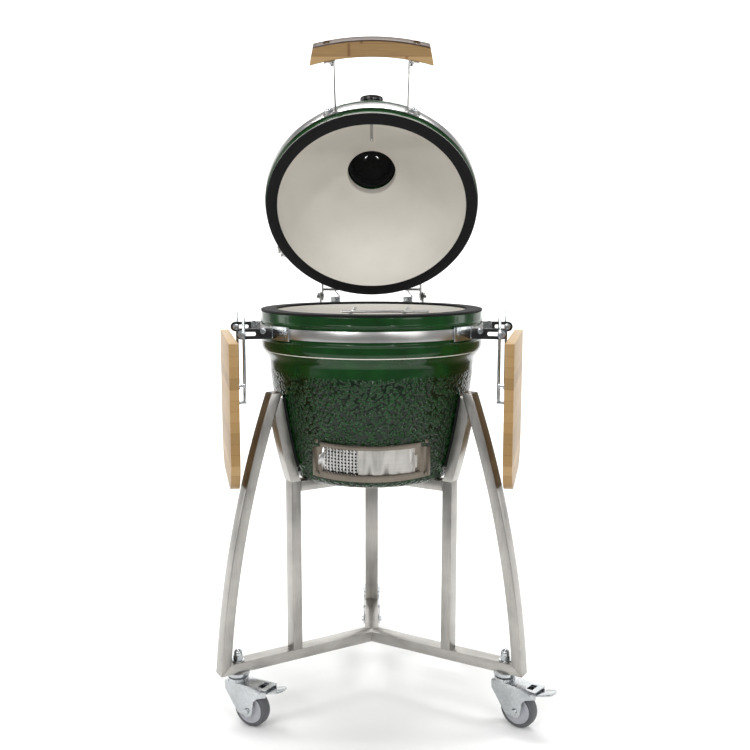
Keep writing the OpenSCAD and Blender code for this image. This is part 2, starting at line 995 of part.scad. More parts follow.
// Stem and upper raceway, which stay still while the fork swivels under them
module swivel_heads() {
    color(zinc)
    for (i = [0 : 2])
        caster(i) {
            translate([0, 0, 97])
                cylinder(r1 = 19, r2 = 23, h = 5);
            translate([0, 0, 102])
                cylinder(r = 23, h = rail_z - 102);
            translate([0, 0, rail_z - 1])
                cylinder(r = 5.8, h = tube_d + 1);
            translate([0, 0, plate_z - 1])
                cylinder(r = 7, h = 11);
            translate([0, 0, plate_z - 4])
                cylinder(r = 10.5, h = 3.4);
        }
}

// Pressed fork: a top plate with a brake window, two cheeks, and the riveted axle
module fork(i) {
    color(zinc)
    caster(i) {
        difference() {
            union() {
                translate([-20, -fork_out, plate_z])
                    cube([plate_end + 20, 2 * fork_out, plate_t]);
                translate([0, 0, plate_z])
                    cylinder(r = 21, h = 8.5);
            }
            translate([0, 0, plate_z - 10])
                cylinder(r = 7 + run, h = 30);
            translate([plate_end - 24, -12, plate_z - 1])
                cube([13, 24, 6]);
        }
        for (s = [-1, 1])
            translate([0, s * (fork_out - fork_t / 2) + fork_t / 2, 0])
                rotate([90, 0, 0])
                    linear_extrude(fork_t) {
                        polygon([
                            [-20, plate_z], [-19, 74], [12, 30], [24, 28], [44, 28], [47, 38],
                            [50, 60], [58, 68], [plate_end, 76], [plate_end, plate_z]
                        ]);
                        translate([trail, axle_z])
                            circle(r = 13);
                    }
        translate([pedal_x, 0, pedal_z])
            rotate([90, 0, 0])
                cylinder(r = 2, h = 2 * fork_out + 2, center = true);
        translate([trail, 0, axle_z])
            rotate([90, 0, 0]) {
                cylinder(r = axle_r, h = 2 * fork_out + 4, center = true);
                for (s = [-1, 1])
                    translate([0, 0, s * (fork_out + 2.5)])
                        cylinder(r = 6.5, h = 5, center = true, $fn = 6);
            }
    }
}

// Foot lever that reaches out from under the fork plate
module brake_pedal(i) {
    color(zinc)
    caster(i) {
        difference() {
            union() {
                translate([pedal_x, 0, pedal_z])
                    rotate([0, -15, 0])
                        translate([-6, -fork_out + fork_t + 1.5, -1.5])
                            linear_extrude(3)
                                polygon([
                                    [0, 0], [46, 0], [53, 6], [55, 16], [53, 26], [46, 32], [0, 32]
                                ]);
                translate([pedal_x, 0, pedal_z])
                    rotate([90, 0, 0])
                        cylinder(r = 4.5, h = 30, center = true);
            }
            translate([pedal_x, 0, pedal_z])
                rotate([90, 0, 0])
                    cylinder(r = 2 + run, h = 40, center = true);
        }
    }
}

module wheel_core(i) {
    color([0.62, 0.62, 0.65])
    caster(i)
        translate([trail, 0, axle_z])
            rotate([90, 0, 0])
                difference() {
                    union() {
                        cylinder(r = core_r, h = tyre_w - 4, center = true);
                        cylinder(r = 11, h = 2 * (fork_out - fork_t) - 2 * gap, center = true);
                        for (s = [-1, 1])
                            translate([0, 0, s * (tyre_w / 2 - 1.4)])
                                rotate_extrude()
                                    ring_section(core_r - 3.5, core_r, -1.2, 1.2);
                    }
                    cylinder(r = axle_r + run, h = 60, center = true);
                }
}

module tyre(i) {
    color([0.30, 0.30, 0.31])
    caster(i)
        translate([trail, 0, axle_z])
            rotate([90, 0, 0])
                rotate_extrude()
                    polygon([
                        [core_r, -tyre_w / 2 + 1], [wheel_r - 4, -tyre_w / 2], [wheel_r - 1.2, -tyre_w / 2 + 3],
                        [wheel_r, -tyre_w / 2 + 7], [wheel_r, tyre_w / 2 - 7], [wheel_r - 1.2, tyre_w / 2 - 3],
                        [wheel_r - 4, tyre_w / 2], [core_r, tyre_w / 2 - 1]
                    ]);
}

// ---- Shelves ----

lock_s = 237;
lock_z = 797.5;

// Flat black brackets, each with a slot that the shelf's pivot pin slides in
module shelf_brackets() {
    color(iron)
    for (side = [0, 1], t = [-1, 1])
        shelf(side)
            translate([0, t * bracket_at + bracket_t / 2, 0])
                rotate([90, 0, 0])
                    linear_extrude(bracket_t)
                        difference() {
                            union() {
                                translate([pivot_s, pivot_z])
                                    circle(r = bracket_half);
                                translate([218.5, pivot_z - bracket_half])
                                    square([pivot_s - 218.5, 2 * bracket_half]);
                            }
                            for (s = [0, slot_run])
                                translate([pivot_s - s, pivot_z])
                                    circle(r = pin_r + gap);
                            translate([pivot_s - slot_run, pivot_z - pin_r - gap])
                                square([slot_run, 2 * (pin_r + gap)]);
                        }
}

// Bright saddles riveted to the band, with an ear behind each bracket and the lock bolt
module bracket_saddles() {
    color(zinc)
    for (side = [0, 1], t = [-1, 1])
        shelf(side) {
            rotate([0, 0, t * 22.6])
                rotate([0, 0, 90])
                    front_sweep(t > 0 ? -3 : -13, t > 0 ? 13 : 3)
                        ring_section(saddle_r, saddle_r + 2, bowl_band_z - 4, bowl_band_z + band_h + 3);
            translate([0, t * (bracket_at - bracket_t / 2 - 1.5) - 1.5, 0])
                translate([215.8, 0, pivot_z - 9])
                    cube([29, 3, 18]);
            translate([lock_s, t * bracket_at, lock_z])
                rotate([t * -90, 0, 0]) {
                    translate([0, 0, bracket_t / 2 + 0.1])
                        cylinder(r = 4, h = 8);
                    translate([0, 0, bracket_t / 2 + 7])
                        cylinder(r = 5.5, h = 2);
                }
        }
}

module shelf_board(side) {
    color(bamboo)
    shelf(side)
        translate([pivot_s + board_gap, 0, board_top - board_w])
            rotate([90, 0, 90])
                linear_extrude(board_t)
                    union() {
                        translate([-board_len / 2, board_round])
                            square([board_len, board_w - board_round]);
                        translate([-board_len / 2 + board_round, 0])
                            square([board_len - 2 * board_round, board_round + 1]);
                        for (t = [-1, 1])
                            translate([t * (board_len / 2 - board_round), board_round])
                                circle(r = board_round);
                    }
}

strut_top = 824;
strut_low = 656;
strut_at = bracket_at + bracket_t / 2 + gap + 3.2;
strut_s = pivot_s - 4;

// Steel rods that carry the board: an eye on the pivot pin, a free end above that hooks
// under the lock bolt when the shelf is up, and a screwed foot plate below
module shelf_struts(side) {
    color(zinc)
    shelf(side)
        for (t = [-1, 1])
            difference() {
                union() {
                    translate([strut_s, t * strut_at, strut_low])
                        cylinder(r = strut_r, h = strut_top - strut_low, $fn = 32);
                    translate([pivot_s, t * strut_at, pivot_z])
                        rotate([90, 0, 0])
                            cylinder(r = 8, h = 6, center = true);
                    translate([strut_s - strut_r, t * strut_at - 9, strut_low])
                        cube([strut_r * 2 + board_gap + 4 - strut_r - 0.1, 18, 4]);
                    translate([pivot_s + board_gap - 3.1, t * strut_at - 9, strut_low])
                        cube([3, 18, 44]);
                    translate([strut_s, t * strut_at - 4, strut_low + 32])
                        cube([board_gap + 3.9, 8, 6]);
                }
                translate([pivot_s, t * strut_at, pivot_z])
                    rotate([90, 0, 0])
                        cylinder(r = pin_r + run, h = 30, center = true);
            }
}

// Headed pins through the bracket slots and the eyes of the struts
module shelf_pins(side) {
    color(zinc)
    shelf(side)
        for (t = [-1, 1])
            translate([pivot_s, t * bracket_at, pivot_z])
                rotate([t * -90, 0, 0]) {
                    translate([0, 0, -bracket_t / 2 - 5])
                        cylinder(r = pin_r, h = bracket_t + 16);
                    translate([0, 0, -bracket_t / 2 - 5])
                        cylinder(r = 6, h = 5 - gap);
                    translate([0, 0, bracket_t / 2 + 8])
                        cylinder(r = 6, h = 3);
                }
}

bowl();
bowl_gasket();
bowl_band();
firebox();
fire_ring();
charcoal_grate();
cooking_grate();
grate_handle();
draft_frame();
draft_screen();
draft_door();
lid_dome();
lid_gasket();
lid_band();
hinge_lower();
hinge_upper();
hinge_springs();
handle_bar();
handle_arms();
handle_bolts();
dial_case();
dial_stem();
dial_needle();
vent_base();
vent_cap();
vent_wheel();
outer_leg(0);  // outer_leg_left
outer_leg(1);  // outer_leg_right
outer_leg(2);  // outer_leg_rear
inner_leg(0);  // inner_leg_left
inner_leg(1);  // inner_leg_right
inner_leg(2);  // inner_leg_rear
base_rail(0);  // base_rail_left
base_rail(1);  // base_rail_right
base_rail(2);  // base_rail_rear
leg_posts();
support_bars();
bowl_pads();
cap_nuts();
swivel_heads();
fork(0);  // fork_left
fork(1);  // fork_right
fork(2);  // fork_rear
brake_pedal(0);  // brake_pedal_left
brake_pedal(1);  // brake_pedal_right
brake_pedal(2);  // brake_pedal_rear
wheel_core(0);  // wheel_core_left
wheel_core(1);  // wheel_core_right
wheel_core(2);  // wheel_core_rear
tyre(0);  // tyre_left
tyre(1);  // tyre_right
tyre(2);  // tyre_rear
shelf_brackets();
bracket_saddles();
shelf_board(0);  // shelf_board_left
shelf_board(1);  // shelf_board_right
shelf_struts(0);  // shelf_struts_left
shelf_struts(1);  // shelf_struts_right
shelf_pins(0);  // shelf_pins_left
shelf_pins(1);  // shelf_pins_right
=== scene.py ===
# %% [markdown]
# # A ceramic kamado grill on a stainless cart
#
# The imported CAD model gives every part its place, its size and the body that it moves
# with. This lesson gives those parts their surfaces: glazed ceramic with a pebbled
# belly, brushed and polished steel, laminated bamboo, cast iron, felt and grey rubber.
# Where a CAD solid is too plain for the eye, a finer piece is computed and stands in.
#
# Units are metres. +Z is up and the front of the grill faces -Y.

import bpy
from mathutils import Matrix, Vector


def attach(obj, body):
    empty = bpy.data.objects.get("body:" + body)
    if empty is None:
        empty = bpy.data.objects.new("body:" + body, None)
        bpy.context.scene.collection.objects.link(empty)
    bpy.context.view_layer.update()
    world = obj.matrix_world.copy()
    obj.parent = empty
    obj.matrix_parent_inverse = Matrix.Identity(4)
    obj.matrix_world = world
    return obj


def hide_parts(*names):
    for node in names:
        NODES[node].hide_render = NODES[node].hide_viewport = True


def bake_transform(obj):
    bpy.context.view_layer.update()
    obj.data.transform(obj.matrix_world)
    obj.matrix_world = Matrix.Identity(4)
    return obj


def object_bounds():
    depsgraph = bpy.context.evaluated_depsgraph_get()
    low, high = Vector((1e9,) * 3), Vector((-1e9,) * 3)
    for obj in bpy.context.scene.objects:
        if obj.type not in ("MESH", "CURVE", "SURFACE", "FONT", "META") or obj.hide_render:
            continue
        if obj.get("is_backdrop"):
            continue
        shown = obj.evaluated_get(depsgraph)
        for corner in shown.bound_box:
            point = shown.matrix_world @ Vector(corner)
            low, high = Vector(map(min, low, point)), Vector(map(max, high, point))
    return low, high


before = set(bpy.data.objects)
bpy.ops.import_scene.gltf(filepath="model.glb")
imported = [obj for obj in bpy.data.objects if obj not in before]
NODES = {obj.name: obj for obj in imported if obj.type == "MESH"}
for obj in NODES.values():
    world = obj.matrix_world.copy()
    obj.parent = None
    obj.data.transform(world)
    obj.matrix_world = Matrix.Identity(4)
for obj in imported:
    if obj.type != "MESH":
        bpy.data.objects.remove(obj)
low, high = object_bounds()
size = {"frame_low": list(low), "frame_high": list(high)}

import math

import bpy
import numpy as np
from mathutils import Vector

print("overall size", [round(b - a, 4) for a, b in zip(low, high)])

# %% [markdown]
# ## Numbers shared by the parts
#
# The ceramic is a solid of revolution. Its outline is given as radius and height, so the
# same few numbers that size the CAD bowl are repeated here in millimetres. The lid is
# worked out shut and then turned open about its hinge pins.

# %% Dimensions and the lid's pose
MM = 0.001
RIM_R, BOWL_Z, STEP_Z = 230.0, 487.0, 728.0
LID_Z, LID_R = 834.4, 228.0
HINGE_Y, HINGE_Z, LID_OPEN = 240.0, 846.0, 55.0
DOME_N, DOME_H, DOME_IN_R, DOME_IN_H = 2.3, 190.0, 203.0, 163.0
DRAFT_R, DRAFT_Z, DRAFT_LEAN, DRAFT_H = 187.5, 546.0, 8.0, 83.0


def taper(z):
    """Outer radius of the bowl's tapered belly: one shallow circular arc in the height z."""
    return -877.3 + np.sqrt(1093.5**2 - (809.0 - z) ** 2)


def dome(s, r, h):
    """Radius of the dome at height s above its rim: a superellipse between r and h."""
    return r * (1 - (np.asarray(s) / h) ** DOME_N) ** (1 / DOME_N)


def about_hinge(points, degrees):
    """Points turned about the hinge pins: y and z are rotated by the angle, x stays."""
    a = math.radians(degrees)
    p = np.array(points, float)
    y, z = p[..., 1] - HINGE_Y, p[..., 2] - HINGE_Z
    p[..., 1] = HINGE_Y + y * math.cos(a) - z * math.sin(a)
    p[..., 2] = HINGE_Z + y * math.sin(a) + z * math.cos(a)
    return p


def lid_pose(points):
    """Points of the shut lid, in millimetres, turned open."""
    return about_hinge(points, -LID_OPEN)


def shut(points):
    """Points of the open lid turned back to where they are with the lid shut."""
    return about_hinge(points, LID_OPEN)


print("belly radius at the foot and the step, mm", [round(float(taper(z)), 1) for z in (BOWL_Z, STEP_Z)])

# %% [markdown]
# ## Materials
#
# Every surface varies a little, as a real one does. One helper adds a shader node with
# its settings and links; colours are written as sRGB and changed to linear in one place.
# Constants sit directly on the shader's own sockets.

# %% Shader helpers
def linear(hex_colour):
    """An sRGB colour such as '2f5d33' as linear red, green, blue and alpha."""
    c = np.array([int(hex_colour[i : i + 2], 16) for i in (0, 2, 4)]) / 255
    c = np.where(c <= 0.04045, c / 12.92, ((c + 0.055) / 1.055) ** 2.4)
    return (*[float(v) for v in c], 1.0)


def add(tree, kind, settings=None, **inputs):
    """Adds a node; settings are its properties; inputs are values or sockets, by socket name or number."""
    n = tree.nodes.new(kind)
    for k, v in (settings or {}).items():
        setattr(n, k, v)
    for k, v in inputs.items():
        s = n.inputs[int(k[1:])] if k[0] == "i" and k[1:].isdigit() else n.inputs[k.replace("_", " ")]
        if isinstance(v, bpy.types.NodeSocket):
            tree.links.new(v, s)
        else:
            s.default_value = v
    return n


def material(name, **shader):
    """A new material with one Principled shader; returns the material, its tree and the shader."""
    m = bpy.data.materials.new(name)
    m.use_nodes = True
    tree = m.node_tree
    tree.nodes.clear()
    p = add(tree, "ShaderNodeBsdfPrincipled", **shader)
    add(tree, "ShaderNodeOutputMaterial", Surface=p.outputs[0])
    return m, tree, p


def coords(tree, scale=(1, 1, 1), turn=(0, 0, 0)):
    """Object coordinates, turned by degrees and then scaled: at scale 1000 one unit is a millimetre."""
    t = add(tree, "ShaderNodeTexCoord")
    turned = add(tree, "ShaderNodeMapping", {"vector_type": "POINT"}, Vector=t.outputs["Object"],
                 Rotation=[math.radians(a) for a in turn])
    return add(tree, "ShaderNodeMapping", Vector=turned.outputs[0], Scale=scale).outputs[0]


def millimetres(tree, turn=(0, 0, 0)):
    """Object coordinates in millimetres, turned by degrees."""
    return coords(tree, (1000, 1000, 1000), turn)


def ramp(tree, fac, stops, interpolation="LINEAR"):
    """A colour ramp with (position, sRGB hex) stops."""
    n = add(tree, "ShaderNodeValToRGB", Fac=fac)
    n.color_ramp.interpolation = interpolation
    e = n.color_ramp.elements
    while len(e) < len(stops):
        e.new(0.5)
    for item, (at, colour) in zip(e, stops):
        item.position = at
        item.color = linear(colour)
    return n.outputs["Color"]


def span(tree, value, low, high):
    """A 0 to 1 value stretched to the range low to high."""
    return add(tree, "ShaderNodeMapRange", Value=value, To_Min=low, To_Max=high).outputs[0]


def noise(tree, vector, scale, detail=4.0, rough=0.5):
    """Fractal noise, as a 0 to 1 value."""
    n = add(tree, "ShaderNodeTexNoise", Vector=vector, Scale=scale, Detail=detail, Roughness=rough)
    return n.outputs["Fac"]


def maths(tree, operation, *values):
    """One arithmetic step on values or sockets."""
    inputs = {"i%d" % k: v for k, v in enumerate(values)}
    return add(tree, "ShaderNodeMath", {"operation": operation}, **inputs).outputs[0]


def multiply(tree, amount, first, second):
    """Two colours multiplied, as far as the amount says."""
    settings = {"data_type": "RGBA", "blend_type": "MULTIPLY"}
    return add(tree, "ShaderNodeMix", settings, i0=amount, i6=first, i7=second).outputs[2]


def bump(tree, shader, height, strength, distance, under=None):
    """Raises the surface by height times distance metres, on top of an earlier bump if one is given."""
    b = add(tree, "ShaderNodeBump", Height=height, Strength=strength, Distance=distance)
    if under is not None:
        tree.links.new(under.outputs[0], b.inputs["Normal"])
    for socket in ("Normal", "Coat Normal"):
        tree.links.new(b.outputs[0], shader.inputs[socket])
    return b


print("shader helpers ready")

# %% [markdown]
# ### Glazed ceramic
#
# The outside is a deep green glaze over stoneware. On the belly and the crown the glaze
# has crawled into pebbles about 7 mm across; the rim and shoulder are smooth. A vertex
# attribute called pebble, 0 to 1, says where. Between pebbles the glaze pools darker.
# The inside is a matt cream glaze with faint smoke shading and a few pinholes.

# %% Ceramic materials
def glaze():
    """Green stoneware glaze: a clear glossy coat over a soft base, pebbled where the attribute says."""
    m, t, p = material("fired_green_stoneware_glaze", Roughness=0.2, IOR=1.5, Specular_IOR_Level=0.2,
                       Coat_Weight=0.3, Coat_Roughness=0.05)
    v = millimetres(t)
    wobble = add(t, "ShaderNodeTexNoise", Vector=v, Scale=0.09, Detail=2.0)
    moved = add(t, "ShaderNodeVectorMath", {"operation": "MULTIPLY_ADD"},
                i0=wobble.outputs["Color"], i1=(4, 4, 4), i2=v)
    cell = add(t, "ShaderNodeTexVoronoi", {"feature": "SMOOTH_F1"},
               Vector=moved.outputs[0], Scale=0.145, Smoothness=0.25)
    rise = add(t, "ShaderNodeMapRange", {"interpolation_type": "SMOOTHSTEP"},
               Value=cell.outputs["Distance"], From_Min=0.2, From_Max=0.72, To_Min=1.0, To_Max=0.0)
    dome_shape = rise.outputs[0]
    where = add(t, "ShaderNodeAttribute", {"attribute_name": "pebble"}).outputs["Fac"]
    pebbles = maths(t, "MULTIPLY", dome_shape, where)
    cloud = noise(t, v, 0.02, 5.0)
    base = ramp(t, cloud, [(0.3, "0a2d0d"), (0.55, "0d3812"), (0.75, "124518")])
    pooled = multiply(t, where, base, ramp(t, dome_shape, [(0.0, "8a8a8a"), (0.6, "ffffff")]))
    t.links.new(pooled, p.inputs["Base Color"])
    b = bump(t, p, pebbles, 1.0, 0.0019)
    ripple = noise(t, v, 0.05, 3.0)
    bump(t, p, ripple, 0.10, 0.0008, b)
    return m


def cream():
    """Matt cream inner glaze: slight tone drift, pinholes and fine tooth."""
    m, t, p = material("matt_cream_inner_glaze", Roughness=0.55, IOR=1.5)
    v = millimetres(t)
    tone = ramp(t, noise(t, v, 0.012, 6.0), [(0.25, "e2ded5"), (0.5, "e7e3da"), (0.8, "eae7df")])
    spots = add(t, "ShaderNodeTexVoronoi", Vector=v, Scale=0.03)
    speck = ramp(t, spots.outputs["Distance"], [(0.0, "7d7263"), (0.028, "ffffff")])
    t.links.new(multiply(t, 0.6, tone, speck), p.inputs["Base Color"])
    bump(t, p, noise(t, v, 0.35, 5.0), 0.25, 0.0003)
    return m


def clay():
    """Unglazed refractory clay of the fire box: sandy, matt, warm grey."""
    m, t, p = material("unglazed_refractory_clay", Roughness=0.9, IOR=1.45)
    v = millimetres(t)
    tone = ramp(t, noise(t, v, 0.08, 8.0, 0.65), [(0.25, "b7ab98"), (0.6, "cdc3b2"), (0.85, "d9d1c3")])
    t.links.new(tone, p.inputs["Base Color"])
    bump(t, p, noise(t, v, 0.9, 4.0), 0.5, 0.0004)
    return m


def felt():
    """Pressed black heat-proof felt: matt, fibrous, with a soft sheen."""
    m, t, p = material("pressed_black_felt", Roughness=0.96, IOR=1.4,
                       Sheen_Weight=0.06, Sheen_Roughness=0.5)
    v = millimetres(t)
    tone = ramp(t, noise(t, v, 0.6, 8.0, 0.7), [(0.3, "040405"), (0.6, "09090a"), (0.8, "101012")])
    t.links.new(tone, p.inputs["Base Color"])
    bump(t, p, noise(t, v, 1.1, 6.0, 0.7), 0.8, 0.0006)
    return m


GLAZE, CREAM, CLAY, FELT = glaze(), cream(), clay(), felt()
print("ceramic and felt:", GLAZE.name, CREAM.name, CLAY.name, FELT.name)

# %% [markdown]
# ### Metals
#
# Brushed tube has fine lines along its length, bands are brushed round the ring, and the
# draught door's slide is satin polished. Small hardware is zinc plated. Cast iron is black and
# sandy from its mould. The stretched noise is finer than a millimetre across the grain.

# %% Metal materials
def steel(name, tint, rough, grain, turn=(0, 0, 0), depth=0.00003, smudge=0.10):
    """Stainless or plated steel; grain is the noise scale per millimetre along x, y and z."""
    m, t, p = material(name, Metallic=1.0, IOR=2.5)
    lines = noise(t, coords(t, [g * 1000 for g in grain], turn), 1.0, 3.0, 0.6)
    cloud = noise(t, millimetres(t), 0.02, 4.0)
    streaks = ramp(t, lines, [(0.2, tint[0]), (0.8, tint[1])])
    smears = ramp(t, cloud, [(0.3, "e2e2e2"), (0.7, "ffffff")])
    t.links.new(multiply(t, 1.0, streaks, smears), p.inputs["Base Color"])
    t.links.new(maths(t, "MULTIPLY_ADD", cloud, smudge, span(t, lines, *rough)), p.inputs["Roughness"])
    if depth:
        bump(t, p, lines, 0.35, depth)
    return m


def iron():
    """Black cast iron: sand-cast grain under a thin heat-proof paint."""
    m, t, p = material("sand_cast_black_iron", Roughness=0.72, IOR=1.45, Specular_IOR_Level=0.3)
    v = millimetres(t)
    tone = ramp(t, noise(t, v, 0.15, 6.0), [(0.3, "0c0c0d"), (0.7, "1b1b1d")])
    t.links.new(tone, p.inputs["Base Color"])
    bump(t, p, noise(t, v, 0.7, 5.0, 0.6), 0.6, 0.0005)
    return m


def powder():
    """Glossy black powder coat with a faint orange-peel skin."""
    m, t, p = material("black_powder_coated_steel", Roughness=0.26, IOR=1.5,
                       Coat_Weight=0.3, Coat_Roughness=0.12)
    v = millimetres(t)
    t.links.new(ramp(t, noise(t, v, 0.05, 4.0), [(0.3, "08080a"), (0.7, "131315")]), p.inputs["Base Color"])
    bump(t, p, noise(t, v, 0.4, 2.0), 0.25, 0.0002)
    return m


TUBE_TINT, TUBE_ROUGH, ACROSS, ALONG = ("97948f", "cac7c2"), (0.2, 0.34), 2.6, 0.02


def leg_steel(turn):
    """Brushed tube whose grain runs up the leg, the wall turned to face that leg's direction."""
    grain = (ACROSS, ACROSS, ALONG)
    return steel("brushed_stainless_tube_%d" % turn, TUBE_TINT, TUBE_ROUGH, grain, (0, 0, turn))


def rail_steel(turn):
    """The same tube lying down: its grain runs outwards along the rail."""
    grain = (ALONG, ACROSS, ACROSS)
    return steel("brushed_stainless_rail_%d" % turn, TUBE_TINT, TUBE_ROUGH, grain, (0, 0, -turn))


FAINT = 0.00001
BAND = steel("ring_brushed_stainless_band", ("b2b1af", "dad9d7"), (0.22, 0.36), (0.03, 0.03, 3.2))
SHEET = steel("rolled_stainless_sheet", ("b5b4b2", "d8d7d5"), (0.18, 0.3), (0.3, 0.3, 1.6), depth=FAINT)
POLISHED = steel("polished_stainless_slide", ("b4b1ac", "cfcdc8"), (0.42, 0.5), (0.02, 0.02, 1.8), depth=0.0)
BRONZED = steel("dull_rolled_stainless_frame", ("6f675d", "8b8378"), (0.24, 0.38), (0.2, 0.2, 0.9), depth=FAINT)
WIRE = steel("drawn_stainless_wire", ("a8a7a5", "cbcac8"), (0.2, 0.34), (0.6, 0.6, 0.6), depth=FAINT)
ZINC = steel("bright_zinc_plated_steel", ("b4b8bb", "d9dcde"), (0.14, 0.26), (0.25, 0.25, 0.25), depth=FAINT)
SPRING = steel("plated_spring_wire", ("8f9193", "b9bbbd"), (0.2, 0.32), (0.8, 0.8, 0.8), depth=FAINT)
IRON, POWDER = iron(), powder()
sheets = [m.name for m in bpy.data.materials if "stainless" in m.name or "zinc" in m.name]
print("metals:", len(sheets), "sheets and tubes")

# %% [markdown]
# ### Bamboo, rubber and plastic
#
# Laminated bamboo is strips a few millimetres thick and about 20 mm wide, glued side by
# side. Each strip has its own tone, fine fibres along the grain and darker bands at the
# nodes of the cane. A clear lacquer covers it. The handle's outer face is coloured darker.

# %% Bamboo and moulded materials
STRIP_WIDTH, KNOT_STEP = 21.0, 118.0


def bamboo(name, turn, along, across, shade=("7d6139", "9c7c4c", "b69666")):
    """Lacquered bamboo laminate; along is the axis (0 to 2) of the grain, across that of the strips' width."""
    m, t, p = material(name, Roughness=0.46, IOR=1.45, Coat_Weight=0.12, Coat_Roughness=0.25)
    v = millimetres(t, (0, 0, turn))
    axes = add(t, "ShaderNodeSeparateXYZ", Vector=v)
    grain, width = axes.outputs[along], axes.outputs[across]
    row = maths(t, "DIVIDE", width, STRIP_WIDTH)
    strip = maths(t, "FLOOR", row)
    tone = add(t, "ShaderNodeTexWhiteNoise", {"noise_dimensions": "1D"}, W=strip).outputs["Value"]
    shift = maths(t, "MULTIPLY_ADD", tone, 430.0, grain)
    knot_row = maths(t, "PINGPONG", shift, KNOT_STEP)
    knot = add(t, "ShaderNodeMapRange", Value=knot_row,
               From_Min=0.0, From_Max=4.5, To_Min=1.0, To_Max=0.0).outputs[0]
    stretch = [1.1, 1.1, 1.1]
    stretch[along] = 0.016
    fibre_at = add(t, "ShaderNodeMapping", Vector=v, Scale=stretch).outputs[0]
    fibre = noise(t, fibre_at, 1.0, 5.0, 0.6)
    blend_tone = maths(t, "MULTIPLY_ADD", tone, 0.45, span(t, fibre, 0.05, 0.6))
    colour = ramp(t, blend_tone, [(0.2, shade[0]), (0.5, shade[1]), (0.85, shade[2])])
    with_knots = multiply(t, span(t, knot, 0.0, 0.75), colour, linear("a9794a"))
    edge = maths(t, "FRACT", row)
    glue = ramp(t, edge, [(0.0, "b78a56"), (0.035, "ffffff"), (0.965, "ffffff"), (1.0, "b78a56")])
    t.links.new(multiply(t, 0.55, with_knots, glue), p.inputs["Base Color"])
    bump(t, p, fibre, 0.3, 0.00012)
    return m


def moulded(name, colours, rough, grain, depth):
    """Moulded rubber or plastic: an even tone with a fine tool grain."""
    m, t, p = material(name, IOR=1.5)
    v = millimetres(t)
    n = noise(t, v, 0.06, 4.0)
    t.links.new(ramp(t, n, [(0.3, colours[0]), (0.7, colours[1])]), p.inputs["Base Color"])
    t.links.new(span(t, n, rough[0], rough[1]), p.inputs["Roughness"])
    bump(t, p, noise(t, v, grain, 3.0), 0.3, depth)
    return m


BAR_CENTRE_Y, DARKER_FACE_R = 80, 446.2


def bar_wood():
    """The handle's bamboo, drawn in the shut lid's frame, with its outer face coloured darker."""
    m = bamboo("lacquered_bamboo_bar", 0, 0, 2)
    t, p = m.node_tree, m.node_tree.nodes["Principled BSDF"]
    turn = math.radians(LID_OPEN)
    y = HINGE_Y - (HINGE_Y * math.cos(turn) - HINGE_Z * math.sin(turn))
    z = HINGE_Z - (HINGE_Y * math.sin(turn) + HINGE_Z * math.cos(turn))
    closed = add(t, "ShaderNodeMapping", Vector=millimetres(t), Rotation=(turn, 0, 0), Location=(0, y, z))
    flat = add(t, "ShaderNodeMapping", Vector=closed.outputs[0],
               Location=(0, -BAR_CENTRE_Y, 0), Scale=(1, 1, 0))
    radius = add(t, "ShaderNodeVectorMath", {"operation": "LENGTH"}, i0=flat.outputs[0]).outputs["Value"]
    # Beyond this radius the bar's outer face is multiplied by a dark brown.
    outer = add(t, "ShaderNodeMapRange", Value=radius, From_Min=DARKER_FACE_R, From_Max=DARKER_FACE_R + 1.2).outputs[0]
    wood = p.inputs["Base Color"].links[0].from_socket
    t.links.new(multiply(t, outer, wood, linear("6d5a48")), p.inputs["Base Color"])
    return m


BAR_WOOD = bar_wood()
BOARD_WOOD = [bamboo("lacquered_bamboo_board_" + n, turn, 1, 2) for n, turn in (("left", -12), ("right", 12))]
RUBBER = moulded("grey_moulded_rubber", ("4c4d50", "5a5b5e"), (0.5, 0.62), 0.8, 0.0002)
CORE = moulded("pale_moulded_plastic", ("a2a3a9", "b2b3b8"), (0.38, 0.5), 0.6, 0.0001)
NEEDLE = moulded("red_painted_tin", ("a3201b", "b52a22"), (0.35, 0.45), 0.5, 0.0001)
print("wood, rubber and plastic ready")

# %% [markdown]
# ## Paint and soften the CAD parts
#
# The CAD solids come with knife-sharp edges. A weld joins their split corners, and a
# small bevel gives each edge the radius that pressing, bending or sanding leaves.

# %% Soften and assign
def soften(name, width, segments=2, angle=32):
    """Welds a CAD part and rounds its edges by width millimetres."""
    o = NODES[name]
    w = o.modifiers.new("weld", "WELD")
    w.merge_threshold = 2e-6
    if width:
        b = o.modifiers.new("edge", "BEVEL")
        b.width = width * MM
        b.segments = segments
        b.limit_method = "ANGLE"
        b.angle_limit = math.radians(angle)
        b.use_clamp_overlap = True
        b.miter_outer = "MITER_ARC"
        b.harden_normals = False
    o.data.polygons.foreach_set("use_smooth", np.ones(len(o.data.polygons), bool))


def paint(o, *materials):
    """Gives an object its material slots."""
    o.data.materials.clear()
    for m in materials:
        o.data.materials.append(m)


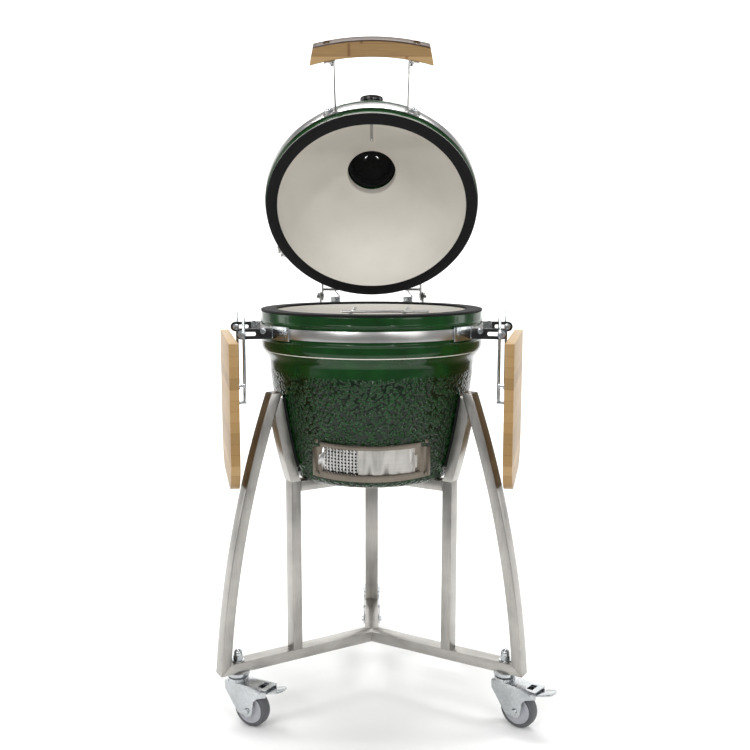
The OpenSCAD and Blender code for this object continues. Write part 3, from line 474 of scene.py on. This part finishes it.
SIDES = ("left", "right", "rear")
TURN = {"left": 210, "right": 330, "rear": 90}
plan = []
for side in SIDES:
    tube, rail = leg_steel(TURN[side]), rail_steel(TURN[side])
    plan += [("outer_leg_" + side, tube, 2.2), ("inner_leg_" + side, tube, 2.2)]
    plan += [("base_rail_" + side, rail, 2.2)]
    plan += [("fork_" + side, ZINC, 0.6), ("brake_pedal_" + side, ZINC, 0.8)]
    plan += [("wheel_core_" + side, CORE, 0.7), ("tyre_" + side, RUBBER, 1.0)]
plan += [
    ("leg_posts", leg_steel(0), 2.2), ("support_bars", leg_steel(1), 2.2), ("bowl_pads", FELT, 0.6),
    ("cap_nuts", ZINC, 0.5), ("swivel_heads", ZINC, 0.8), ("bowl_band", BAND, 0.3), ("lid_band", BAND, 0.3),
    ("bowl_gasket", FELT, 1.0), ("lid_gasket", FELT, 1.0), ("firebox", CLAY, 2.5), ("fire_ring", CLAY, 2.5),
    ("charcoal_grate", IRON, 1.2), ("cooking_grate", WIRE, 0.0), ("grate_handle", WIRE, 0.5),
    ("draft_frame", BRONZED, 0.3), ("draft_screen", SHEET, 0.0), ("draft_door", POLISHED, 0.2),
    ("hinge_lower", SHEET, 0.5), ("hinge_upper", SHEET, 0.5), ("handle_bar", BAR_WOOD, 2.0),
    ("handle_arms", SHEET, 0.4), ("handle_bolts", ZINC, 0.5), ("dial_case", POWDER, 0.8),
    ("dial_stem", WIRE, 0.3), ("dial_needle", NEEDLE, 0.1), ("vent_base", IRON, 1.0), ("vent_cap", IRON, 1.2),
    ("vent_wheel", IRON, 0.8), ("shelf_brackets", POWDER, 0.4), ("bracket_saddles", ZINC, 0.4),
    ("shelf_board_left", BOARD_WOOD[0], 3.0), ("shelf_board_right", BOARD_WOOD[1], 3.0),
    ("shelf_struts_left", ZINC, 0.5), ("shelf_struts_right", ZINC, 0.5),
    ("shelf_pins_left", ZINC, 0.5), ("shelf_pins_right", ZINC, 0.5),
]
for name, finish, width in plan:
    paint(NODES[name], finish)
    soften(name, width, 3 if width >= 2 else 2)
print("painted", len(plan), "CAD parts")

# %% [markdown]
# ## Ceramic shells
#
# A shell is a closed outline of radius and height, swept once round. The grid of points
# is radius times the cosine and sine of the sweep angle; the last column joins the
# first, and a row of zero radius closes to one point at the pole.

# %% Revolved shells
def piece(name, points, faces, smooth=True):
    """A new object from points in millimetres and faces as lists of point numbers."""
    mesh = bpy.data.meshes.new(name)
    mesh.from_pydata((np.asarray(points) * MM).tolist(), [], faces)
    if smooth:
        mesh.polygons.foreach_set("use_smooth", np.ones(len(mesh.polygons), bool))
    o = bpy.data.objects.new(name, mesh)
    bpy.context.scene.collection.objects.link(o)
    return o


def spin(section, steps):
    """Each point of a section (radius, height) at every step of a full turn: r cos a, r sin a, height."""
    a = np.linspace(0, 2 * np.pi, steps, endpoint=False)
    r, z = section[:, 0][:, None], section[:, 1:2]
    return np.stack([r * np.cos(a), r * np.sin(a), np.repeat(z, steps, 1)], -1)


def belt(rows, sides):
    """Quads between neighbouring rings of a tube whose points are numbered ring by ring."""
    i = np.arange(rows - 1)[:, None] * sides
    j = np.arange(sides)[None]
    k = (j + 1) % sides
    return np.stack([i + j, i + k, i + sides + k, i + sides + j], -1).reshape(-1, 4).tolist()


def revolve(name, outline, steps, pose=None):
    """Sweeps a closed outline (radius, height in millimetres) round Z as one closed mesh."""
    ring = np.array(outline, float)
    pole = ring[:, 0] < 1e-6
    grid = spin(ring, steps)
    index = np.arange(len(ring) * steps).reshape(len(ring), steps)
    index[pole] = index[pole][:, :1]
    rows = np.arange(len(ring))
    a0, b0 = index[rows], index[(rows + 1) % len(ring)]
    quads = np.stack([a0, np.roll(a0, -1, 1), np.roll(b0, -1, 1), b0], -1).reshape(-1, 4)
    used, flat = np.unique(quads, return_inverse=True)
    flat = flat.reshape(-1, 4)
    points = grid.reshape(-1, 3)[used]
    if pose is not None:
        points = pose(points)
    faces = [tuple(dict.fromkeys(f)) for f in flat.tolist()]
    o = piece(name, points, [f for f in faces if len(f) > 2])
    o.data.validate()
    return o


def arc(cx, cz, r, start, end, count):
    """Points on a circle from one angle to another, in degrees."""
    a = np.radians(np.linspace(start, end, count))
    return np.stack([cx + r * np.cos(a), cz + r * np.sin(a)], -1)


def column(r, z):
    """Radius and height paired up."""
    return np.stack(np.broadcast_arrays(np.asarray(r, float), np.asarray(z, float)), -1)


def bead(z, at, height=2.2, half=3.2):
    """A smooth raised bead round the wall: a raised cosine that reaches the distance half each way."""
    u = np.clip(np.abs(z - at) / half, 0, 1)
    return height * 0.5 * (1 + np.cos(np.pi * u))


def bowl_outline():
    """The bowl's closed outline: flat foot, rounded heel, belly, shoulder, rim, inner wall, floor."""
    heel_r = float(taper(BOWL_Z + 24))
    belly_z = np.linspace(512, STEP_Z, 60)
    step_r = taper(STEP_Z)
    k = np.linspace(0, 1, 22)[1:]
    wall_z = np.linspace(764, 826, 63)
    wall = RIM_R - 0.5 + bead(wall_z, 775) + bead(wall_z, 811)
    z_in = np.linspace(718, 550, 18)
    return np.concatenate([
        column([0, 60, heel_r - 32], BOWL_Z),
        arc(heel_r - 24, BOWL_Z + 24, 24, -90, -4, 14),
        column(taper(belly_z), belly_z),
        column(step_r + (RIM_R - 0.5 - step_r) * (1 - np.cos(np.pi * k)) / 2, STEP_Z + 34 * k),
        column(wall, wall_z),
        arc(RIM_R - 2.5, 828, 2, 10, 80, 5),
        column([220, 205], 830),
        arc(199, 828, 2, 100, 170, 4),
        column(197, [815, 790, 775]),
        column([195.6, 192, 188.4], [770, 750, 730]),
        column(taper(z_in) - 27, z_in),
        arc(taper(527.0) - 47, 527 + 6, 20, -10, -88, 8),
        column([100, 50, 0], 513),
    ])


def lid_outline():
    """The dome's closed outline: rim, wall with beads, crown, collar, smoke hole and inner dome."""
    s = np.concatenate([np.linspace(7, 58, 52), np.linspace(60, 183.4, 60)])
    outer = np.minimum(LID_R, dome(s, LID_R + 3, DOME_H)) + bead(s, 12) + bead(s, 48)
    inner_s = np.linspace(159.0, 6, 60)
    return np.concatenate([
        column([DOME_IN_R + 2.5, 215, LID_R - 2], LID_Z + 4),
        arc(LID_R - 2, LID_Z + 6, 2, -70, -10, 4),
        column(outer, LID_Z + s),
        arc(79, LID_Z + 187, 3, 250, 190, 5),
        arc(72.5, LID_Z + 193.5, 3.5, 0, 90, 6),
        column([65, 58], LID_Z + 197),
        arc(57, LID_Z + 195, 2, 90, 170, 4),
        column(55, LID_Z + np.array([180.0, 165.0])),
        arc(59, LID_Z + 162.5, 4, 180, 235, 4),
        column(dome(inner_s[3:], DOME_IN_R, DOME_IN_H), LID_Z + inner_s[3:]),
    ])


bowl = revolve("ceramic_bowl", bowl_outline(), 256)
lid = revolve("ceramic_dome", lid_outline(), 256, lid_pose)
print("bowl", len(bowl.data.polygons), "faces, dome", len(lid.data.polygons), "faces")

# %% [markdown]
# ### The draught opening
#
# Behind the draught door the bowl has a flat land and a slot for the air. Both are
# blocks swept about the door's own axis, which leans forwards at the top. They are
# joined to and cut from the shell, and are not kept afterwards.

# %% Cut the draught opening
def draft_block(r0, r1, height, a, b, steps=40):
    """A closed block between two radii, swept about the leaning axis from a to b degrees off the front."""
    turn = np.radians(np.linspace(a, b, steps))
    section = np.array([(r0, -height / 2), (r1, -height / 2), (r1, height / 2), (r0, height / 2)])
    p = np.stack([section[None, :, 0] * np.sin(turn)[:, None], -section[None, :, 0] * np.cos(turn)[:, None],
                  np.repeat(section[None, :, 1], steps, 0)], -1).reshape(-1, 3)
    lean = math.radians(DRAFT_LEAN)
    y, z = p[:, 1].copy(), p[:, 2].copy()
    p[:, 1] = y * math.cos(lean) - z * math.sin(lean)
    p[:, 2] = y * math.sin(lean) + z * math.cos(lean) + DRAFT_Z + DRAFT_R * math.sin(lean)
    ends = [(3, 2, 1, 0), tuple(4 * (steps - 1) + k for k in range(4))]
    return piece("draft_block", p, belt(steps, 4) + ends, smooth=False)


def carve(o, steps):
    """Applies boolean steps, each (operation, cutter), and removes the cutters."""
    for operation, cutter in steps:
        m = o.modifiers.new(operation.lower(), "BOOLEAN")
        m.operation, m.object, m.solver = operation, cutter, "EXACT"
    done = bpy.data.meshes.new_from_object(o.evaluated_get(bpy.context.evaluated_depsgraph_get()))
    o.modifiers.clear()
    o.data = done
    for _, cutter in steps:
        bpy.data.objects.remove(cutter)


carve(bowl, [
    ("UNION", draft_block(DRAFT_R - 14, DRAFT_R, DRAFT_H + 6, -39, 39)),
    ("DIFFERENCE", draft_block(DRAFT_R, DRAFT_R + 30, DRAFT_H + 6, -39, 39)),
    ("DIFFERENCE", draft_block(DRAFT_R - 60, DRAFT_R + 10, 56, -29, -1)),
])
print("bowl after carving", len(bowl.data.polygons), "faces")

# %% [markdown]
# ### Where the glaze goes
#
# Faces on the outer side of the wall's middle take the green glaze, the others the cream
# one. The pebble attribute rises from 0 on the smooth shoulder to 1 on the belly, and on
# the dome it rises above the band and falls again at the collar.

# %% Glaze zones
def read_points(items, name):
    """One three-number property of every vertex or face, in millimetres."""
    values = np.empty(len(items) * 3, np.float32)
    items.foreach_get(name, values)
    return values.reshape(-1, 3).astype(float) / MM


def zones(o, outside, pebble, body, node):
    """Sets each face's material and each vertex's pebble value, then hangs the shell on its body."""
    paint(o, GLAZE, CREAM)
    mesh = o.data
    co = read_points(mesh.vertices, "co")
    centre = read_points(mesh.polygons, "center")
    mesh.polygons.foreach_set("material_index", np.where(outside(centre), 0, 1).astype(np.int32))
    mark = mesh.attributes.new("pebble", "FLOAT", "POINT")
    mark.data.foreach_set("value", pebble(co).astype(np.float32))
    mesh.polygons.foreach_set("use_smooth", np.ones(len(mesh.polygons), bool))
    mesh.set_sharp_from_angle(angle=math.radians(35))
    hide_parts(node)
    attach(o, body)


def smooth_step(x, a, b):
    """0 below a, 1 above b, with an even turn between."""
    u = np.clip((x - a) / (b - a), 0, 1)
    return u * u * (3 - 2 * u)


def bowl_outside(c):
    """True where a face is beyond the middle of the bowl's wall or under its foot."""
    r = np.hypot(c[:, 0], c[:, 1])
    middle = np.where(c[:, 2] > 750, 226.0, taper(np.clip(c[:, 2], BOWL_Z, 750)) - 8)
    return (r > middle) | (c[:, 2] < BOWL_Z + 1)


def dome_outside(c):
    """True where a face is outside the middle of the dome's wall."""
    p = shut(c)
    r, s = np.hypot(p[:, 0], p[:, 1]), p[:, 2] - LID_Z
    across, up = np.clip(r / (DOME_IN_R + 13), 0, 1), np.clip(s, 0, None) / (DOME_IN_H + 14)
    return ((across**DOME_N + up**DOME_N > 1) & (s > 5)) | (s > 185)


def bowl_pebble(p):
    """The belly is pebbled below the smooth shoulder."""
    return 1 - smooth_step(p[:, 2], 703, 716)


def dome_pebble(points):
    """The crown is pebbled between the lid's band and the collar."""
    p = shut(points)
    s = p[:, 2] - LID_Z
    return smooth_step(s, 62, 76) * (1 - smooth_step(s, 176, 182))


zones(bowl, bowl_outside, bowl_pebble, "stand", "bowl")
zones(lid, dome_outside, dome_pebble, "lid", "lid_dome")
print("glazed", bowl.name, "and", lid.name)

# %% [markdown]
# ## Coil springs
#
# Each hinge spring is a close-wound coil with a hook at each end. The wire's centre line
# runs round a circle while it climbs, and at each end it swings in to the axis and
# becomes a hook. A tube is swept along it by frames that never twist.

# %% Springs
def tube(name, path, radius, sides=10):
    """Sweeps a circle along a path in millimetres: each ring stands square to it, and the ends are closed."""
    p = np.asarray(path, float)
    d = np.gradient(p, axis=0)
    d /= np.linalg.norm(d, axis=1)[:, None]
    ref = np.array([0.0, 0.0, 1.0]) if abs(d[0, 2]) < 0.9 else np.array([1.0, 0.0, 0.0])
    first = np.cross(d[0], ref)
    first /= np.linalg.norm(first)
    normals = [first]
    for k in range(1, len(p)):
        n = normals[-1] - d[k] * np.dot(normals[-1], d[k])
        normals.append(n / np.linalg.norm(n))
    n = np.array(normals)
    b = np.cross(d, n)
    a = np.linspace(0, 2 * np.pi, sides, endpoint=False)
    c, s = np.cos(a)[None, :, None], np.sin(a)[None, :, None]
    ring = p[:, None] + radius * (c * n[:, None] + s * b[:, None])
    caps = [tuple(range(sides - 1, -1, -1)), tuple(range((len(p) - 1) * sides, len(p) * sides))]
    return piece(name, ring.reshape(-1, 3), belt(len(p), sides) + caps)


def spring_path(x, y, z0, z1, low_pin, high_pin, coil_r=10.6, pitch=3.05):
    """A close coil from z0 to z1 with a hook round the pin below it and round the rod above it."""
    turns = round((z1 - z0) / pitch)
    u = np.linspace(0, 2 * np.pi * turns, turns * 20 + 1)
    coil = np.stack([x + coil_r * np.cos(u), y + coil_r * np.sin(u), z0 + (z1 - z0) * u / u[-1]], -1)
    bend = np.linspace(0, 1, 8)[:-1]
    hook_r = 4.4
    a = np.radians(np.linspace(-90, 150, 15))
    inwards = x + coil_r * (1 - bend)
    up = np.stack([inwards, np.full(7, y), z1 + 0.3 + (high_pin - hook_r - z1) * bend], -1)
    hook = np.stack([np.full(15, x), y + hook_r * np.cos(a), high_pin + hook_r * np.sin(a)], -1)
    down = np.stack([inwards, np.full(7, y), z0 - 0.3 + (low_pin + hook_r - z0) * bend], -1)[::-1]
    low_a = np.radians(np.linspace(330, 90, 15))
    low_hook = np.stack([x + hook_r * np.cos(low_a), np.full(15, y), low_pin + hook_r * np.sin(low_a)], -1)
    return np.concatenate([low_hook[:-1], down[:-1], coil, up[1:], hook[1:]])


SPRING_X, ROD_Y, ROD_Z, STUD_Z = 86.0, HINGE_Y + 24, HINGE_Z + 14, 704.0
for side, s in (("left", -1), ("right", 1)):
    path = spring_path(s * SPRING_X, ROD_Y, STUD_Z + 14, HINGE_Z - 3, STUD_Z, ROD_Z)
    coil = tube("hinge_spring_" + side, path, 1.35, 8)
    paint(coil, SPRING)
    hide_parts("hinge_springs")
    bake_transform(coil)
    print(coil.name, len(coil.data.polygons), "faces")

# %% [markdown]
# ## Thermometer face
#
# The dial is a printed plate with graduation marks and a coloured safe band, under a
# thin glass. Marks are computed in the plate's own polar coordinates, stored in its UV
# map: the angle is U and the radius is V.

# %% Dial and glass
DIAL_S, DIAL_R = 130.0, 25.0


def dial_pose(points):
    """Points of a dial drawn flat at the origin, set square to the dome where it belongs, with the lid open."""
    up = math.radians(45)
    p = np.array(points, float)
    y, z = p[:, 1].copy(), p[:, 2].copy()
    p[:, 1] = y * math.sin(up) - z * math.cos(up) - float(dome(DIAL_S, LID_R + 3, DOME_H))
    p[:, 2] = y * math.cos(up) + z * math.sin(up) + LID_Z + DIAL_S
    return lid_pose(p)


def disc(name, radius, z0, z1, hole=0.0, rings=6, steps=96):
    """A closed round plate between two heights, with the angle and radius written to its UV map."""
    r = np.linspace(hole, radius, rings)
    section = np.concatenate([column(r, z1), column(r[::-1], z0)])
    grid = spin(section, steps)
    index = np.arange(grid.shape[0] * steps).reshape(-1, steps)
    nxt = np.roll(index, -1, 0)
    quads = np.stack([index, nxt, np.roll(nxt, -1, 1), np.roll(index, -1, 1)], -1).reshape(-1, 4)
    o = piece(name, dial_pose(grid.reshape(-1, 3)), quads.tolist(), smooth=False)
    uv = o.data.uv_layers.new(name="polar")
    column_of = np.tile(np.arange(steps), len(section))[quads]
    column_of[:, 2:] = column_of[:, :1] + 1
    u = column_of / steps
    v = np.repeat(section[:, 0] / radius, steps)[quads]
    uv.data.foreach_set("uv", np.stack([u, v], -1).reshape(-1).astype(np.float32))
    return o


def dial_print():
    """Printed dial: pale enamel, black graduation marks on a ring and one green arc."""
    m, t, p = material("printed_enamel_dial", Roughness=0.4, IOR=1.5)
    uv = add(t, "ShaderNodeSeparateXYZ", Vector=add(t, "ShaderNodeUVMap", {"uv_map": "polar"}).outputs[0])
    angle, radius = uv.outputs[0], uv.outputs[1]

    def within(value, a, b):
        """1 where the value is between a and b."""
        return maths(t, "COMPARE", value, (a + b) / 2, (b - a) / 2)

    def times(a, b):
        """The product of two values."""
        return maths(t, "MULTIPLY", a, b)

    fine = maths(t, "FRACT", times(angle, 60.0))
    broad = maths(t, "FRACT", times(angle, 12.0))
    ticks = times(within(fine, 0.0, 0.14), within(radius, 0.84, 0.94))
    marks = times(within(broad, 0.0, 0.06), within(radius, 0.74, 0.94))
    both = maths(t, "MAXIMUM", ticks, marks)
    arc_zone = times(within(angle, 0.28, 0.52), within(radius, 0.58, 0.68))
    enamel = ramp(t, noise(t, millimetres(t), 0.1), [(0.2, "e4e1d8"), (0.8, "efede6")])
    band = add(t, "ShaderNodeMix", {"data_type": "RGBA"}, i0=arc_zone, i6=enamel, i7=linear("3f8a48"))
    ink = add(t, "ShaderNodeMix", {"data_type": "RGBA"}, i0=both, i6=band.outputs[2], i7=linear("151515"))
    t.links.new(ink.outputs[2], p.inputs["Base Color"])
    return m


def clear_glass():
    """Thin flat gauge glass with the faintest handling haze."""
    m, t, p = material("pressed_gauge_glass", IOR=1.5, Transmission_Weight=1.0)
    t.links.new(span(t, noise(t, millimetres(t), 0.2), 0.01, 0.05), p.inputs["Roughness"])
    return m


face = disc("dial_face", DIAL_R - 2.7, 9.02, 9.22, hole=1.6)
glass = disc("dial_glass", DIAL_R - 2.6, 11.7, 12.5, hole=0.05, rings=4)
paint(face, dial_print())
paint(glass, clear_glass())
for o in (face, glass):
    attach(o, "lid")
print("dial face and glass placed")

# %% [markdown]
# ## Floor, light and camera
#
# The floor is one pale sheet that curves up behind, lit by its own box. The rest of the
# room is dim, and soft boxes stand in front and at the sides, because polished steel
# only looks like steel when it has both light and dark to mirror.

# %% Floor
def sweep_floor(half=3.2, front=-1.5, back=1.2, rise=2.2, radius=1.2):
    """A floor that turns up into a backdrop along a quarter circle."""
    a = np.linspace(0, np.pi / 2, 24)
    y = np.concatenate([[front], back + radius * np.sin(a), [back + radius]])
    z = np.concatenate([[0.0], radius - radius * np.cos(a), [rise]])
    n = len(y)
    p = np.concatenate([np.stack([np.full(n, x), y, z], -1) for x in (-half, half)])
    i = np.arange(n - 1)
    return piece("studio_floor", p / MM, np.stack([i, i + n, i + n + 1, i + 1], -1).tolist())


floor = sweep_floor()
m, t, p = material("matt_studio_paper", Roughness=0.85, IOR=1.4)
t.links.new(ramp(t, noise(t, coords(t), 0.7), [(0.3, "f4f4f3"), (0.7, "f8f8f7")]), p.inputs["Base Color"])
paint(floor, m)
floor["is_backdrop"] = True

# %% Lights
def soft_box(name, place, aim, width, height, power):
    """A rectangular area light at a place, turned to face a point."""
    light = bpy.data.lights.new(name, "AREA")
    light.shape, light.size, light.size_y, light.energy = "RECTANGLE", width, height, power
    o = bpy.data.objects.new(name, light)
    o.location = place
    o.rotation_mode = "QUATERNION"
    o.rotation_quaternion = (Vector(aim) - Vector(place)).to_track_quat("-Z", "Y")
    bpy.context.scene.collection.objects.link(o)


soft_box("key_box", (-1.7, -2.4, 2.3), (0, 0, 0.75), 1.2, 1.6, 28)
soft_box("fill_box", (1.9, -2.3, 1.6), (0, 0, 0.7), 1.0, 1.8, 18)
soft_box("sparkle_left", (-0.9, -2.2, 1.5), (0, 0, 0.65), 0.14, 0.14, 9)
soft_box("sparkle_right", (0.8, -2.2, 1.6), (0, 0, 0.65), 0.14, 0.14, 8)
soft_box("top_box", (0, -0.5, 3.0), (0, 0, 0.6), 1.4, 1.4, 16)
soft_box("side_box_left", (-2.4, 0.3, 1.2), (0, 0, 0.7), 0.7, 2.0, 12)
soft_box("side_box_right", (2.4, 0.3, 1.2), (0, 0, 0.7), 0.7, 2.0, 12)
soft_box("backdrop_box", (0, 0.6, 3.6), (0, 2.4, 0.6), 4.0, 0.8, 150)
world = bpy.data.worlds.new("studio")
world.use_nodes = True
world.node_tree.nodes["Background"].inputs["Color"].default_value = linear("c9cacc")
world.node_tree.nodes["Background"].inputs["Strength"].default_value = 0.4
bpy.context.scene.world = world
bpy.context.scene.view_settings.view_transform = "Standard"

# %% Camera
cam = bpy.data.objects.new("camera", bpy.data.cameras.new("camera"))
cam.location = (0.0, -1.9305, 0.9564)
cam.rotation_euler = (math.radians(90 - 7.815), 0, 0)
cam.data.sensor_width, cam.data.lens = 36.0, 44.27
cam.data.shift_x = 0.0045
cam.data.clip_start, cam.data.clip_end = 0.05, 60
bpy.context.scene.collection.objects.link(cam)
bpy.context.scene.camera = cam
print("camera lens", cam.data.lens)

# %% Measure and finish
low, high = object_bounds()
size["scene_low"], size["scene_high"] = list(low), list(high)
print("scene size", [round(b - a, 4) for a, b in zip(low, high)])
